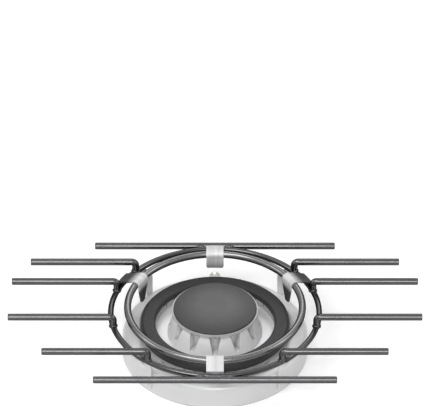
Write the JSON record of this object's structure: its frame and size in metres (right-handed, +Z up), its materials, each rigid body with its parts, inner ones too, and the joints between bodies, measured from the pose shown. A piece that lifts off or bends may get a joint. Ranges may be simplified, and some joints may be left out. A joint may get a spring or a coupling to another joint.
{
  "type": "gas wok burner with pan support",
  "caption": "Low round gas burner with a ring-shaped outer cap and a domed inner cap, carrying an open wire pan support and a lift-off wire ring that holds a round-bottomed wok.",
  "frame": {"origin": "centre of the underside, on the surface that the burner stands on", "axes": "+Z up along the burner's axis, +X to the right along the fingers and bars, +Y to the back"},
  "size_m": [0.3572, 0.1958, 0.057],
  "materials": {
    "bowl_steel": "satin",
    "cover_steel": "satin",
    "cast_aluminium": "as cast",
    "crown_aluminium": "fine turned",
    "dark_enamel": "satin vitreous enamel",
    "support_wire": "drawn wire",
    "ring_wire": "drawn wire",
    "clip_steel": "bright sheet",
    "brass": "machined",
    "plated_brass": "machined, nickel plated",
    "fibre": "pressed fibre",
    "ceramic": "glazed",
    "sensor_steel": "drawn",
    "fastener_steel": "zinc plated"
  },
  "bodies": {
    "base": {"burner_bowl": "bowl_steel", "seat_bracket_back_right": "bowl_steel", "seat_bracket_back_left": "bowl_steel", "seat_bracket_front_left": "bowl_steel", "seat_bracket_front_right": "bowl_steel", "bottom_cover": "cover_steel", "mixing_body": "cast_aluminium", "injector_rail": "cast_aluminium", "inner_injector": "brass", "outer_injectors": "brass", "gas_inlet": "plated_brass", "inlet_nut": "plated_brass", "inlet_seal": "fibre", "spark_ceramic": "ceramic", "spark_pin": "sensor_steel", "thermocouple": "sensor_steel", "thermocouple_nut": "sensor_steel", "spark_clip": "sensor_steel", "cover_screws": "fastener_steel", "body_screws": "fastener_steel", "rail_screws": "fastener_steel", "bracket_rivets": "fastener_steel"},
    "pan_support": {"support_hoop": "support_wire", "front_bar": "support_wire", "back_bar": "support_wire", "finger_back_left": "support_wire", "finger_rear_left": "support_wire", "finger_fore_left": "support_wire", "finger_front_left": "support_wire", "finger_back_right": "support_wire", "finger_rear_right": "support_wire", "finger_fore_right": "support_wire", "finger_front_right": "support_wire"},
    "wok_ring": {"wok_ring_wire": "ring_wire", "wok_clip_front": "clip_steel", "wok_clip_back": "clip_steel", "wok_clip_right": "clip_steel", "wok_clip_left": "clip_steel"},
    "outer_crown": {"outer_crown": "cast_aluminium"},
    "outer_cap": {"outer_cap": "dark_enamel"},
    "inner_crown": {"inner_crown": "crown_aluminium"},
    "inner_cap": {"inner_cap": "dark_enamel"}
  },
  "joints": [
    {"name": "pan_support_lift", "type": "slide", "parent": "base", "child": "pan_support", "axis": [0, 0, 1], "range_m": [0, 0.06]},
    {"name": "wok_ring_lift", "type": "slide", "parent": "pan_support", "child": "wok_ring", "axis": [0, 0, 1], "range_m": [0, 0.069]},
    {"name": "outer_crown_lift", "type": "slide", "parent": "base", "child": "outer_crown", "axis": [0, 0, 1], "range_m": [0, 0.05]},
    {"name": "outer_cap_lift", "type": "slide", "parent": "outer_crown", "child": "outer_cap", "axis": [0, 0, 1], "range_m": [0, 0.05]},
    {"name": "inner_crown_lift", "type": "slide", "parent": "base", "child": "inner_crown", "axis": [0, 0, 1], "range_m": [0, 0.05]},
    {"name": "inner_cap_lift", "type": "slide", "parent": "inner_crown", "child": "inner_cap", "axis": [0, 0, 1], "range_m": [0, 0.05]}
  ]
}
